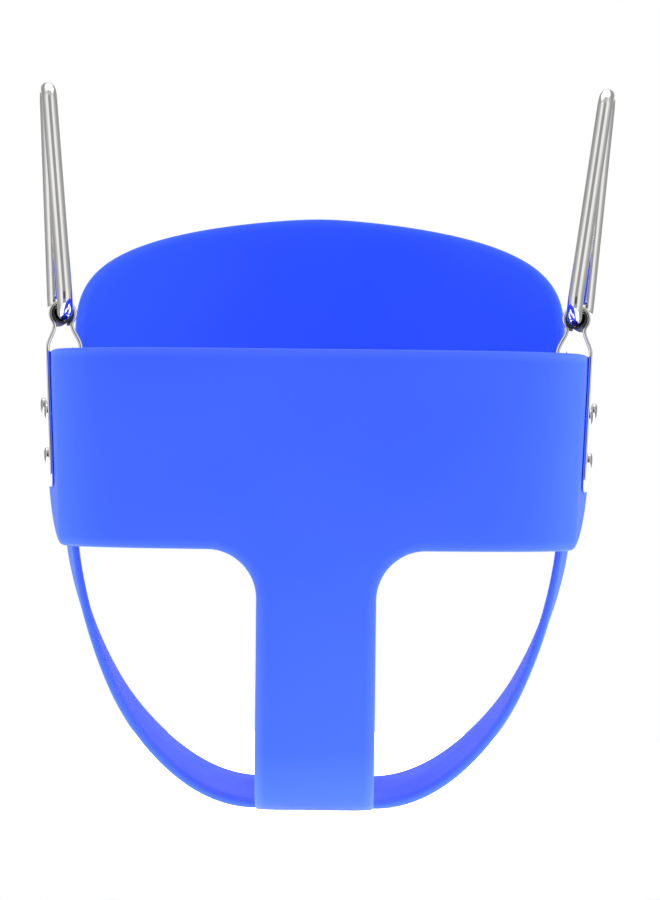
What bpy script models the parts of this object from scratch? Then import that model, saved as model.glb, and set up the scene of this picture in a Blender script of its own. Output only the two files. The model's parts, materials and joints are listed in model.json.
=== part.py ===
"""Toddler bucket swing: EVA seat, high back, folded steel brackets and rod hangers.

Blender 4.5, metres, +Z up, front of the seat towards -Y. Run it with
blender --background --python part.py, or from Blender's text editor.
"""
import math

import bmesh
import bpy
from mathutils import Matrix, Vector

MM = 0.001

# --- driving dimensions, in millimetres -------------------------------------------------
RIM_HEIGHT = 245.0            # rim above the flat bottom of the seat
BAND_HEIGHT = 105.2           # front and rear bands, measured down the wall
SHEET = 4.9                   # thickness of each EVA moulding
GAP = 0.3                     # clearance between touching pieces
TAPER = math.radians(2.7)     # the walls lean in towards the bottom
YAW = math.radians(8.0)       # the flanks open towards the rear
FLANK_X = 148.9               # outer half width at the bracket
FLANK_Y = -21.0               # where the brackets sit, front to rear
FLANK_FRONT_Y = -58.0         # the flat part of each flank
FLANK_REAR_Y = 30.0
FRONT_Y = -112.0              # outer face of the front band at the rim
REAR_Y = 110.0                # outer face of the back panel at the rim
FRONT_FLAT = 42.0             # half of the flat stretch at the middle of the front
REAR_FLAT = 28.0              # half of the flat stretch at the middle of the rear
FRONT_HANDLES = (58.0, 40.0)  # Bezier handles of the front corners, at the flat and the flank
REAR_HANDLES = (62.0, 36.0)   # and of the rear corners

STRAP_HALF = 31.4             # crotch strap, half width
STRAP_FILLET = 26.0           # round corner between the band and the crotch strap
STRAP_BEND = 36.0             # bend of the crotch strap into the flat bottom
ARM_CORNER = 17.0             # rounded corners at the ends of both bands
ARM_SWEEP_RUN = 100.0         # the front band's lower edge sweeps up towards its rear end
ARM_SWEEP_RISE = 40.0
FRONT_ARM_Y = 24.0            # the front band ends here, just behind the bracket
BACK_ARM_Y = -48.0            # the arm of the back panel ends here, between the other layers
BACK_ARM_LIFT = 34.0          # its lower edge rises under the front band's arm, clear of the wings

BACK_RISE = 83.3              # high back above the rim
BACK_HALF = 155.5             # half width of the high back along the sheet
BACK_POWER = 1.65             # its top edge is a superellipse
BACK_ROOT = 3.2
SHOULDER = 12.0               # fillet between the high back and the rim of its arm
REAR_STRAP_HALF = 27.0
REAR_STRAP_FILLET = 20.0
REAR_STRAP_BEND = 32.0
REAR_STRAP_END_Y = 2.0        # the rear strap ends here, on top of the bottom pad

SLING_FRONT_Y = -62.0         # side wings at the bottom pad
SLING_REAR_Y = 80.0
WING_FRONT_Y = -45.0          # side wings inside the bracket
WING_REAR_Y = 4.0
WING_BOW = 3.1                # the wings bow outward between the bracket and the bottom
BOW_TOP = 36.0                # the bow fades in over this much height below the bracket
BOW_FOOT = 60.0               # and fades out over this much height above the bottom
SPLAY_POWER = 1.5             # how late up the wings they take on the flanks' angle
WING_TOP = 3.0                # the wings stop this far below the rim
SLING_SIDE = (124.8, 85.0)    # handles of the side profile, (x, z)
SLING_BOTTOM = (92.6, 0.0)

STEEL = 2.0                   # bracket sheet
EYE_RISE = 20.0               # hinge axis above the rim
EYE_DROP = 0.5                # the curl's own axis is lower: the rod sits high in its bush
ROD = 8.4                     # hanger rod diameter
BUSH_BORE = ROD / 2 + 0.5     # the bore runs round the rod, off the bush's own axis
BUSH_RADIUS = BUSH_BORE + 0.8
EYE_RADIUS = BUSH_RADIUS + 0.2   # inside of the curl
EYE_HALF = 23.0               # half width of the curl
BUSH_HALF = EYE_HALF + 1.0
PLATE_TOP_HALF = 25.0
PLATE_END_HALF = 20.0
PLATE_DEPTH = 74.0            # plate ends this far below the rim
PLATE_CORNER = 8.0
PLATE_FLARE = 12.0            # the plate widens over this much height above the rim
CURL_END = math.radians(-35)  # the curl meets the flare at this angle
FLARE_LEAVE = 5.0             # Bezier handle of the flare at the curl
FLARE_ARRIVE = 6.0            # and the height of its handle above the leg
FLARE_FOOT = 0.8              # the leg is straight below this height

HANGER_HALF = 37.0            # rod centreline, half length of the base
HANGER_RISE = 123.5           # rod centreline, top above the hinge axis
HANGER_BEND = 9.0
LEAN = {1: math.radians(6.6), -1: math.radians(3.8)}   # each hanger leans outward at rest
SKEW = math.radians(1.0)      # and sits slightly askew in its loose bush

SHANK = 2.5                   # rivet radii and heads
HOLE = SHANK + GAP
RIVETS = {"upper_front": (-17.5, -33.0), "upper_rear": (17.5, -29.5), "lower": (0.0, -57.0)}
HEAD = 4.4
HEAD_RISE = 1.7
TAIL_RISE = 0.8 * HEAD_RISE
TAIL = 0.93 * HEAD
DOME = [(0.0, 1.0), (0.45, 0.93), (0.8, 0.66), (1.0, 0.22)]   # share of rise, share of radius
PAD_RIVETS = {"front_left": (-16, 16), "front_right": (16, 16),
              "rear_left": (-16, 48), "rear_right": (16, 48)}
PAD_HEAD = 6.0
PAD_HEAD_DEPTH = 1.8
PAD_HEAD_BEVEL = 0.6
PAD_FLOOR = 0.3               # the heads stay above the resting face
PAD_SEAT = PAD_FLOOR + PAD_HEAD_DEPTH + GAP   # depth of the pockets they sit in
PAD_TAIL_RISE = 1.5
WASHER = 8.0
WASHER_RISE = 1.6
WASHER_BEVEL = 0.4
CUTTER_REACH = 8.0            # how far the hole cutters run past the sheets
POCKET_REACH = 2.0

STACK = 3 * SHEET + 2 * GAP                  # three sheets between the bracket's legs
LAYER = SHEET + GAP                          # pitch of the sheets


# --- small curves -------------------------------------------------------------------------
def spread(start, end, step):
    count = max(1, math.ceil(abs(end - start) / step))
    return [start + (end - start) * i / count for i in range(count + 1)]


def bezier(p0, p1, p2, p3, steps):
    points = []
    for i in range(steps + 1):
        t = i / steps
        k = 1 - t
        points.append(tuple(k ** 3 * a + 3 * k * k * t * b + 3 * k * t * t * c + t ** 3 * d
                            for a, b, c, d in zip(p0, p1, p2, p3)))
    return points


def ease(t):
    """0 below 0, 1 above 1 and smooth between."""
    t = min(1.0, max(0.0, t))
    return t * t * (3 - 2 * t)


class Path:
    """A polyline that is read by arc length."""

    def __init__(self, points):
        self.points = [Vector(p) for p in points]
        self.at = [0.0]
        for a, b in zip(self.points, self.points[1:]):
            self.at.append(self.at[-1] + (b - a).length)

    def length_where(self, test):
        return next(s for s, p in zip(self.at, self.points) if test(p))

    def read(self, s):
        """Point and unit tangent at arc length s; the ends run on straight."""
        i = 1
        while i < len(self.at) - 1 and self.at[i] < s:
            i += 1
        a, b = self.points[i - 1], self.points[i]
        step = self.at[i] - self.at[i - 1]
        return a + (b - a) * ((s - self.at[i - 1]) / step), (b - a) / step


def flank(y, offset=0.0):
    """Plan point on the flank at depth y, moved in from the outer face by offset."""
    return Vector((FLANK_X + (y - FLANK_Y) * math.tan(YAW) - offset / math.cos(YAW), y))


HEADING = Vector((math.sin(YAW), math.cos(YAW)))


def front_plan():
    """Right half of the front band's outer face, from the middle to the end of the arm."""
    start, end = Vector((FRONT_FLAT, FRONT_Y)), flank(FLANK_FRONT_Y)
    leave, arrive = FRONT_HANDLES
    curve = bezier(start, start + Vector((leave, 0)), end - HEADING * arrive, end, 40)
    return Path([(0, FRONT_Y)] + curve + [flank(FRONT_ARM_Y)])


def back_plan():
    """Right half of the back panel's outer face, from the rear middle to its front arm."""
    start, end = Vector((REAR_FLAT, REAR_Y)), flank(FLANK_REAR_Y, LAYER)
    leave, arrive = REAR_HANDLES
    curve = bezier(start, start + Vector((leave, 0)), end + HEADING * arrive, end, 60)
    arm = [flank(y, LAYER) for y in spread(FLANK_REAR_Y, BACK_ARM_Y, 2)[1:]]
    return Path([(0, REAR_Y)] + curve + arm)


def sling_profile():
    """Right half of the sling's outer face in the XZ plane, from the bottom middle up."""
    slope = math.tan(TAPER) / math.cos(YAW)
    offset = 2 * LAYER / (math.cos(YAW) * math.cos(TAPER))
    side_x = FLANK_X + (WING_FRONT_Y - FLANK_Y) * math.tan(YAW) - offset

    def side(z):
        return Vector((side_x + (z - RIM_HEIGHT) * slope, z))

    low = side(RIM_HEIGHT - BAND_HEIGHT)
    curve = bezier((STRAP_HALF, 0), SLING_BOTTOM, SLING_SIDE, low, 60)
    return Path([(0, 0)] + curve + [side(RIM_HEIGHT - WING_TOP)])


FRONT = front_plan()
BACK = back_plan()
SLING = sling_profile()
SLING_TOP_U = SLING.at[-1]


# --- from the flat sheet to the bent sheet ------------------------------------------------
def wall_point(plan, turn, s, v, depth):
    """Wall point s along the plan, v down the wall and depth into the sheet.

    turn is +1 where the plan runs with the outside on its right, else -1.
    """
    side = 1 if s >= 0 else -1
    point, along = plan.read(abs(s))
    normal = Vector((along.y, -along.x)) * turn
    inward = v * math.sin(TAPER) + depth * math.cos(TAPER)
    plan_point = point - normal * inward
    z = RIM_HEIGHT - v * math.cos(TAPER) + depth * math.sin(TAPER)
    return Vector((side * plan_point.x, plan_point.y, z))


def bent_strap(turn, edge_y, x, v, depth, straight, bend, floor):
    """Strap point: down the wall, round the bend and flat along the bottom."""
    if v <= straight:
        inward = v * math.sin(TAPER) + depth * math.cos(TAPER)
        z = RIM_HEIGHT - v * math.cos(TAPER) + depth * math.sin(TAPER)
        return Vector((x, edge_y + turn * inward, z))
    bend_length = bend * (math.pi / 2 - TAPER)
    angle = TAPER + min(v - straight, bend_length) / bend
    centre_y = edge_y + turn * (straight * math.sin(TAPER) + bend * math.cos(TAPER))
    run = max(0.0, v - straight - bend_length)
    y = centre_y - turn * ((bend - depth) * math.cos(angle) - run)
    return Vector((x, y, floor + bend - (bend - depth) * math.sin(angle)))


def strap_straight(height, bend):
    """Length of a strap's straight part, down to its bend."""
    return (height - bend * (1 - math.sin(TAPER))) / math.cos(TAPER)


FRONT_STRAIGHT = strap_straight(RIM_HEIGHT, STRAP_BEND)
FRONT_BEND_END = FRONT_STRAIGHT + STRAP_BEND * (math.pi / 2 - TAPER)
FRONT_BEND_Y = FRONT_Y + FRONT_STRAIGHT * math.sin(TAPER) + STRAP_BEND * math.cos(TAPER)
REAR_STRAIGHT = strap_straight(RIM_HEIGHT - LAYER, REAR_STRAP_BEND)
REAR_BEND_END = REAR_STRAIGHT + REAR_STRAP_BEND * (math.pi / 2 - TAPER)
REAR_BEND_Y = REAR_Y - REAR_STRAIGHT * math.sin(TAPER) - REAR_STRAP_BEND * math.cos(TAPER)


def seat_v(y):
    """Distance down the seat's pattern where the bottom pad lies at depth y."""
    return FRONT_BEND_END + (y - FRONT_BEND_Y)


def sling_outer(u, y):
    """Point of the sling's outer face u along its profile and y from front to rear."""
    point, _ = SLING.read(u)
    z = max(0.0, point.y)
    splay = min(1.0, z / (RIM_HEIGHT - BAND_HEIGHT)) ** SPLAY_POWER
    bow = WING_BOW * ease((RIM_HEIGHT - PLATE_DEPTH - z) / BOW_TOP) * ease(z / BOW_FOOT)
    return Vector((point.x + bow + (y - WING_FRONT_Y) * math.tan(YAW) * splay, y, z))


def sling_point(u, y, depth):
    side = 1 if u >= 0 else -1
    step = 0.5
    u = abs(u)
    along = sling_outer(u + step, y) - sling_outer(max(0.0, u - step), y)
    across = sling_outer(u, y + step) - sling_outer(u, y - step)
    inward = along.cross(across).normalized()
    if u < STRAP_HALF and inward.z < 0 or u >= STRAP_HALF and inward.x > 0:
        inward = -inward
    point = sling_outer(u, y) + inward * depth
    return Vector((side * point.x, point.y, point.z))


def seat_point(s, v, depth):
    if v >= seat_v(SLING_FRONT_Y) - 0.001:
        return sling_point(s, v - seat_v(0), depth)
    if v > BAND_HEIGHT + 1 and abs(s) <= STRAP_HALF + 0.001:
        return bent_strap(1, FRONT_Y, s, v, depth, FRONT_STRAIGHT, STRAP_BEND, 0.0)
    return wall_point(FRONT, 1, s, v, depth)


def back_point(s, v, depth):
    if v > BAND_HEIGHT + 1 and abs(s) <= REAR_STRAP_HALF + 0.001:
        return bent_strap(-1, REAR_Y, s, v, depth, REAR_STRAIGHT, REAR_STRAP_BEND, LAYER)
    return wall_point(BACK, -1, s, v, depth)


# --- flat patterns as blocks of quads -----------------------------------------------------
class Pattern:
    """Quads in the flat sheet; blocks that touch share their corners."""

    def __init__(self):
        self.corners = {}
        self.quads = []

    def corner(self, s, v):
        key = (round(s, 3), round(v, 3))
        return self.corners.setdefault(key, len(self.corners))

    def block(self, columns, low, high, rows):
        """Quads between low(s) and high(s), over the columns."""
        grid = [[self.corner(s, low(s) + (high(s) - low(s)) * r / rows) for r in range(rows + 1)]
                for s in columns]
        for a, b in zip(grid, grid[1:]):
            for r in range(rows):
                quad = tuple(dict.fromkeys((a[r], b[r], b[r + 1], a[r + 1])))
                if len(quad) > 2:
                    self.quads.append(quad)


def both_sides(values):
    """The values and their negatives, in order, each once."""
    return sorted({round(k * v, 6) for v in values for k in (-1, 1)})


def corner_arc(end, radius, steps=4):
    """Columns along a rounded corner that ends at s = end."""
    return [end - radius * (1 - math.sin(math.pi / 2 * i / steps)) for i in range(steps + 1)]


def corner_cut(s, end, radius):
    """How much a rounded corner takes off the sheet's height at s."""
    inside = abs(s) - (end - radius)
    if inside <= 0:
        return 0.0
    return radius - math.sqrt(max(0.0, radius ** 2 - inside ** 2))


def arm_sweep(s, end):
    """How far the front band's lower edge has risen at s, on an ellipse that ends upright."""
    inside = min(1.0, max(0.0, (abs(s) - (end - ARM_SWEEP_RUN)) / ARM_SWEEP_RUN))
    return ARM_SWEEP_RISE * (1 - math.sqrt(1 - inside ** 2))


def fillet_columns(half, radius, steps=6):
    """Columns from a strap's edge out to where its fillet meets the band."""
    return [half + radius * (1 - math.cos(math.pi / 2 * i / steps)) for i in range(steps + 1)]


def fillet_drop(s, half, radius):
    """How far the band reaches down beside a strap."""
    inside = half + radius - abs(s)
    if inside <= 0:
        return 0.0
    return radius - math.sqrt(max(0.0, radius ** 2 - min(inside, radius) ** 2))


def seat_pattern():
    """Front band, crotch strap, bottom pad and side wings."""
    pattern = Pattern()
    end = FRONT.at[-1]
    strap = both_sides(spread(0, STRAP_HALF, 8))
    columns = both_sides(
        spread(0, STRAP_HALF, 8) + fillet_columns(STRAP_HALF, STRAP_FILLET)
        + spread(STRAP_HALF + STRAP_FILLET, end - ARM_CORNER, 8) + corner_arc(end, ARM_CORNER, 6))
    pattern.block(columns, lambda s: corner_cut(s, end, ARM_CORNER),
                  lambda s: BAND_HEIGHT + fillet_drop(s, STRAP_HALF, STRAP_FILLET)
                  - arm_sweep(s, end), 8)
    pad_front, pad_rear = seat_v(SLING_FRONT_Y), seat_v(SLING_REAR_Y)
    pattern.block(strap, lambda s: BAND_HEIGHT + STRAP_FILLET, lambda s: pad_front, 26)
    wing = spread(STRAP_HALF, SLING_TOP_U, 8)

    def reach(s):
        """0 at the bottom pad, 1 from the lower edge of the band upwards."""
        point, _ = SLING.read(abs(s))
        return min(1.0, max(0.0, point.y) / (RIM_HEIGHT - BAND_HEIGHT))

    def near(s):
        return pad_front + (WING_FRONT_Y - SLING_FRONT_Y) * reach(s)

    def far(s):
        return pad_rear + (WING_REAR_Y - SLING_REAR_Y) * reach(s)

    pattern.block(strap, near, far, 12)
    pattern.block(wing, near, far, 12)
    pattern.block([-s for s in reversed(wing)], near, far, 12)
    return pattern


def back_top(s):
    """Height of the back panel above the rim, with a shoulder where it meets the arm."""
    inside = max(0.0, 1 - (abs(s) / BACK_HALF) ** BACK_POWER)
    shoulder = fillet_drop(max(abs(s), BACK_HALF), BACK_HALF, SHOULDER)
    return max(BACK_RISE * inside ** (1 / BACK_ROOT), shoulder)


def back_pattern():
    """Back panel with its arms, and the rear strap."""
    pattern = Pattern()
    end = BACK.at[-1]
    arm_start = BACK.length_where(lambda p: p.y < FRONT_ARM_Y - 2)
    arm_end = BACK.length_where(lambda p: p.y < WING_REAR_Y + 3)

    def bottom(s):
        lift = BACK_ARM_LIFT * ease((abs(s) - arm_start) / (arm_end - arm_start))
        return (BAND_HEIGHT - lift + fillet_drop(s, REAR_STRAP_HALF, REAR_STRAP_FILLET)
                - corner_cut(s, end, ARM_CORNER))

    tightening = [1 - (1 - i / 16) ** 2.2 for i in range(17)]   # finer where the edge is steep
    middle = spread(0, REAR_STRAP_HALF, 7) + fillet_columns(REAR_STRAP_HALF, REAR_STRAP_FILLET)
    side = [BACK_HALF * share for share in tightening if BACK_HALF * share > middle[-1]]
    high = middle + side + fillet_columns(BACK_HALF, SHOULDER, 4)
    arm = spread(BACK_HALF + SHOULDER, end - ARM_CORNER, 8) + corner_arc(end, ARM_CORNER)
    pattern.block(both_sides(high), lambda s: -back_top(s), lambda s: 0.0, 7)
    pattern.block(both_sides(high + arm), lambda s: corner_cut(s, end, ARM_CORNER), bottom, 8)
    strap_end = REAR_BEND_END + (REAR_BEND_Y - REAR_STRAP_END_Y)
    pattern.block(both_sides(spread(0, REAR_STRAP_HALF, 7)),
                  lambda s: BAND_HEIGHT + REAR_STRAP_FILLET, lambda s: strap_end, 28)
    return pattern


# --- objects ------------------------------------------------------------------------------
def material(name, colour, roughness, metallic=0.0):
    made = bpy.data.materials.new(name)
    made.use_nodes = True
    shader = made.node_tree.nodes["Principled BSDF"]
    shader.inputs["Base Color"].default_value = (*colour, 1)
    shader.inputs["Roughness"].default_value = roughness
    shader.inputs["Metallic"].default_value = metallic
    return made


def add_object(name, bm, look, origin=Vector((0, 0, 0)), smooth=35):
    """Turn a bmesh in millimetres into an object in metres with its origin where asked."""
    bmesh.ops.recalc_face_normals(bm, faces=bm.faces)
    into_metres = Matrix.Scale(MM, 4) @ Matrix.Translation(-origin)
    bmesh.ops.transform(bm, matrix=into_metres, verts=bm.verts)
    mesh = bpy.data.meshes.new(name)
    bm.to_mesh(mesh)
    bm.free()
    mesh.materials.append(look)
    mesh.shade_smooth()
    mesh.set_sharp_from_angle(angle=math.radians(smooth))
    made = bpy.data.objects.new(name, mesh)
    made.location = origin * MM
    bpy.context.collection.objects.link(made)
    return made


def sheet_object(name, pattern, bend, look):
    """One closed EVA sheet bent from its flat pattern."""
    bm = bmesh.new()
    corners = sorted(pattern.corners, key=pattern.corners.get)
    outer = [bm.verts.new(bend(s, v, 0.0)) for s, v in corners]
    inner = [bm.verts.new(bend(s, v, SHEET)) for s, v in corners]
    edges = {}
    for quad in pattern.quads:
        bm.faces.new([outer[i] for i in quad])
        bm.faces.new([inner[i] for i in reversed(quad)])
        for a, b in zip(quad, quad[1:] + quad[:1]):
            edges[frozenset((a, b))] = None if frozenset((a, b)) in edges else (a, b)
    for edge in filter(None, edges.values()):
        a, b = edge
        bm.faces.new([outer[b], outer[a], inner[a], inner[b]])
    return add_object(name, bm, look)


def side_frame(side):
    """Local frame of a bracket: x out of the wall, y to the rear, z up the wall."""
    up = Vector((math.cos(YAW) * math.sin(TAPER), -math.sin(YAW) * math.sin(TAPER), math.cos(TAPER)))
    rear = Vector((math.sin(YAW), math.cos(YAW), 0))
    out = rear.cross(up)
    frame = Matrix((out, rear, up)).transposed().to_4x4()
    frame.translation = Vector((FLANK_X, FLANK_Y, RIM_HEIGHT))
    mirror = Matrix.Diagonal((side, 1, 1, 1))
    return mirror @ frame


def cut(target, cutters):
    for cutter in cutters:
        modifier = target.modifiers.new("hole", "BOOLEAN")
        modifier.operation = "DIFFERENCE"
        modifier.solver = "EXACT"
        modifier.object = cutter


def turned(profile, segments, frame):
    """Solid of revolution about the local x axis; profile is (x, radius) from end to end.

    A third value lifts that ring off the axis.
    """
    bm = bmesh.new()
    rings = []
    for x, radius, *lift in profile:
        ring = []
        for i in range(segments):
            angle = 2 * math.pi * i / segments
            z = radius * math.sin(angle) + sum(lift)
            ring.append(bm.verts.new((x, radius * math.cos(angle), z)))
        rings.append(ring)
    for a, b in zip(rings, rings[1:]):
        for i in range(segments):
            j = (i + 1) % segments
            bm.faces.new((a[i], a[j], b[j], b[i]))
    bm.faces.new(rings[0])
    bm.faces.new(rings[-1])
    bmesh.ops.transform(bm, matrix=frame, verts=bm.verts)
    return bm


def cutter(name, profile, frame):
    made = add_object(name, turned(profile, 20, frame), LOOKS["steel"])
    made.hide_render = True
    made.display_type = "WIRE"
    return made


def bracket_path():
    """Right half of the folded strap's middle line, (across, up), from the top of the curl."""
    radius = EYE_RADIUS + STEEL / 2
    leg = STACK / 2 + GAP + STEEL / 2
    arc = []
    for angle in spread(math.pi / 2, CURL_END, math.radians(10.5)):
        arc.append((radius * math.cos(angle), EYE_RISE - EYE_DROP + radius * math.sin(angle)))
    start = Vector(arc[-1])
    heading = Vector((math.sin(CURL_END), -math.cos(CURL_END)))
    flare = bezier(start, start + heading * FLARE_LEAVE, (leg, FLARE_ARRIVE), (leg, FLARE_FOOT), 12)
    rows = [(leg, -z) for z in spread(0, PLATE_DEPTH - PLATE_CORNER, 14)[1:]]
    ends = [(leg, -z) for z in corner_arc(PLATE_DEPTH, PLATE_CORNER, 5)[1:]]
    return arc + flare[1:] + rows + ends


def plate_half(z):
    """Half width of the bracket's plate at height z, with its rounded lower corners."""
    if z >= 0:
        return EYE_HALF + (PLATE_TOP_HALF - EYE_HALF) * max(0.0, 1 - z / PLATE_FLARE)
    half = PLATE_TOP_HALF + (PLATE_END_HALF - PLATE_TOP_HALF) * -z / PLATE_DEPTH
    return half - corner_cut(-z, PLATE_DEPTH, PLATE_CORNER)


def bracket(side, holes):
    right = bracket_path()
    line = [(-x, z) for x, z in reversed(right[1:])] + right
    bm = bmesh.new()
    rows = []
    for i, (x, z) in enumerate(line):
        before, after = Vector(line[max(i - 1, 0)]), Vector(line[min(i + 1, len(line) - 1)])
        along = (after - before).normalized()
        across = Vector((-along.y, along.x)) * STEEL / 2
        half = plate_half(z)
        row = []
        for k, y in ((1, -half), (1, half), (-1, half), (-1, -half)):
            row.append(bm.verts.new((x + k * across.x - STACK / 2, y, z + k * across.y)))
        rows.append(row)
    for a, b in zip(rows, rows[1:]):
        for i in range(4):
            j = (i + 1) % 4
            bm.faces.new((a[i], a[j], b[j], b[i]))
    bm.faces.new(rows[0])
    bm.faces.new(rows[-1])
    bmesh.ops.transform(bm, matrix=side_frame(side), verts=bm.verts)
    made = add_object(SIDES[side] + "_bracket", bm, LOOKS["steel"])
    cut(made, holes)
    return made


def hanger_line():
    """Closed middle line of the rod: a triangle with three round bends, (y, z)."""
    bends = [(HANGER_HALF - HANGER_BEND, HANGER_BEND), (0, HANGER_RISE - HANGER_BEND),
             (HANGER_BEND - HANGER_HALF, HANGER_BEND)]
    points = []
    for i, centre in enumerate(bends):
        before, after = Vector(bends[i - 1]), Vector(bends[(i + 1) % 3])
        middle = Vector(centre)
        arriving, leaving = (middle - before), (after - middle)
        start = math.atan2(-arriving.x, arriving.y)
        turn = (math.atan2(-leaving.x, leaving.y) - start) % (2 * math.pi)
        steps = max(3, round(turn / math.radians(20)))
        for k in range(steps + 1):
            angle = start + turn * k / steps
            points.append(middle + HANGER_BEND * Vector((math.cos(angle), math.sin(angle))))
    return points


def hanger(side, axis):
    points = hanger_line()
    segments = 14
    bm = bmesh.new()
    rings = []
    for i, point in enumerate(points):
        along = (points[(i + 1) % len(points)] - points[i - 1]).normalized()
        normal = Vector((0, along.y, -along.x))
        ring = []
        for k in range(segments):
            angle = 2 * math.pi * k / segments
            offset = normal * math.cos(angle) + Vector((1, 0, 0)) * math.sin(angle)
            ring.append(bm.verts.new(Vector((0, *point)) + offset * ROD / 2))
        rings.append(ring)
    for i, ring in enumerate(rings):
        after = rings[(i + 1) % len(rings)]
        for k in range(segments):
            j = (k + 1) % segments
            bm.faces.new((ring[k], ring[j], after[j], after[k]))
    lean = Matrix.Rotation(LEAN[side] - TAPER, 4, "Y")
    skew = Matrix.Rotation(-SKEW, 4, "Z")
    eye = Matrix.Translation((-STACK / 2, 0, EYE_RISE))
    bmesh.ops.transform(bm, matrix=side_frame(side) @ eye @ lean @ skew, verts=bm.verts)
    return add_object(SIDES[side] + "_hanger", bm, LOOKS["steel"], origin=axis, smooth=60)


def side_rivet(side, label):
    y, z = RIVETS[label]
    face = GAP + STEEL
    far = -STACK - GAP - STEEL
    head = [(face + GAP / 2 + HEAD_RISE * rise, HEAD * radius) for rise, radius in DOME]
    tail = [(far - GAP / 2 - TAIL_RISE * rise, TAIL * radius) for rise, radius in DOME]
    profile = list(reversed(tail)) + [(tail[0][0], SHANK), (head[0][0], SHANK)] + head
    frame = side_frame(side) @ Matrix.Translation((0, y, z))
    name = f"{SIDES[side]}_rivet_{label}"
    return add_object(name, turned(profile, 20, frame), LOOKS["rivet"], smooth=30)


def side_hole(side, label):
    y, z = RIVETS[label]
    frame = side_frame(side) @ Matrix.Translation((0, y, z))
    profile = [(-STACK - CUTTER_REACH, HOLE), (CUTTER_REACH, HOLE)]
    return cutter(f"cut_{SIDES[side]}_{label}", profile, frame)


def upright(x, y):
    """Frame whose local x axis points up, for the rivets of the bottom pad."""
    return Matrix.Translation((x, y, 0)) @ Matrix.Rotation(-math.pi / 2, 4, "Y")


def pad_rivet(label):
    """Flat head in its pocket under the pad, and a domed tail on its washer above."""
    top = 2 * LAYER + WASHER_RISE + GAP
    back = PAD_FLOOR + PAD_HEAD_DEPTH
    profile = [(PAD_FLOOR, PAD_HEAD - PAD_HEAD_BEVEL), (PAD_FLOOR + PAD_HEAD_BEVEL, PAD_HEAD),
               (back, PAD_HEAD), (back, SHANK), (top, SHANK)]
    profile += [(top + PAD_TAIL_RISE * rise, HEAD * radius) for rise, radius in DOME]
    return add_object(f"pad_rivet_{label}", turned(profile, 20, upright(*PAD_RIVETS[label])),
                      LOOKS["rivet"], smooth=30)


def turned_ring(profile, segments, frame):
    """A turned solid with a bore: its two end caps give way to the wall between them."""
    bm = turned(profile, segments, frame)
    caps = [face for face in bm.faces if len(face.verts) == segments]
    bmesh.ops.delete(bm, geom=caps, context="FACES")
    rims = [edge for edge in bm.edges if edge.is_boundary]
    bmesh.ops.bridge_loops(bm, edges=rims)
    return bm


def pad_washer(label):
    low = 2 * LAYER
    high = low + WASHER_RISE
    profile = [(low, HOLE), (low, WASHER), (high - WASHER_BEVEL, WASHER),
               (high, WASHER - WASHER_BEVEL), (high, HOLE)]
    bm = turned_ring(profile, 24, upright(*PAD_RIVETS[label]))
    return add_object(f"pad_washer_{label}", bm, LOOKS["rivet"], smooth=30)


def bush(side):
    """Sleeve inside the curl, along the local y axis, with its bore round the rod."""
    profile = [(-BUSH_HALF, BUSH_BORE, EYE_DROP), (-BUSH_HALF, BUSH_RADIUS),
               (BUSH_HALF, BUSH_RADIUS), (BUSH_HALF, BUSH_BORE, EYE_DROP)]
    eye = Matrix.Translation((-STACK / 2, 0, EYE_RISE - EYE_DROP))
    along = Matrix.Rotation(math.pi / 2, 4, "Z")
    bm = turned_ring(profile, 32, side_frame(side) @ eye @ along)
    return add_object(SIDES[side] + "_bush", bm, LOOKS["bush"], smooth=30)


def pad_cutters(label):
    """Cutters for the seat's pocket and hole, and for the hole in the rear strap."""
    frame = upright(*PAD_RIVETS[label])
    top = 2 * LAYER + CUTTER_REACH
    pocket = [(-POCKET_REACH, PAD_HEAD + GAP), (PAD_SEAT, PAD_HEAD + GAP), (PAD_SEAT, HOLE),
              (top, HOLE)]
    hole = [(-POCKET_REACH, HOLE), (top, HOLE)]
    return cutter(f"cut_pocket_{label}", pocket, frame), cutter(f"cut_hole_{label}", hole, frame)


SIDES = {1: "right", -1: "left"}


def build():
    for old in list(bpy.data.objects):
        bpy.data.objects.remove(old, do_unlink=True)
    LOOKS["eva"] = material("eva_blue", (0.056, 0.118, 0.93), 0.42)
    LOOKS["back"] = material("eva_blue_back", (0.04, 0.09, 0.9), 0.42)
    LOOKS["steel"] = material("polished_steel", (0.78, 0.78, 0.8), 0.14, 1.0)
    LOOKS["bush"] = material("bush_black", (0.012, 0.012, 0.014), 0.5)
    LOOKS["rivet"] = material("rivet_steel", (0.66, 0.66, 0.68), 0.25, 1.0)
    seat = sheet_object("seat_base", seat_pattern(), seat_point, LOOKS["eva"])
    back = sheet_object("back_panel", back_pattern(), back_point, LOOKS["back"])
    for side in SIDES:
        holes = [side_hole(side, label) for label in RIVETS]
        bracket(side, holes)
        cut(seat, holes)
        cut(back, holes)
        for label in RIVETS:
            side_rivet(side, label)
        axis = side_frame(side) @ Vector((-STACK / 2, 0, EYE_RISE))
        hanger(side, axis)
        bush(side)
    for label in PAD_RIVETS:
        pocket, hole = pad_cutters(label)
        cut(seat, [pocket])
        cut(back, [hole])
        pad_rivet(label)
        pad_washer(label)


LOOKS = {}
build()
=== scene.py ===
"""Looks of the toddler bucket swing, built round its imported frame. Blender 4.5, metres, +Z up."""
import bisect
import json
import math

import bpy
import numpy as np
from mathutils import Matrix, Vector

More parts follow.
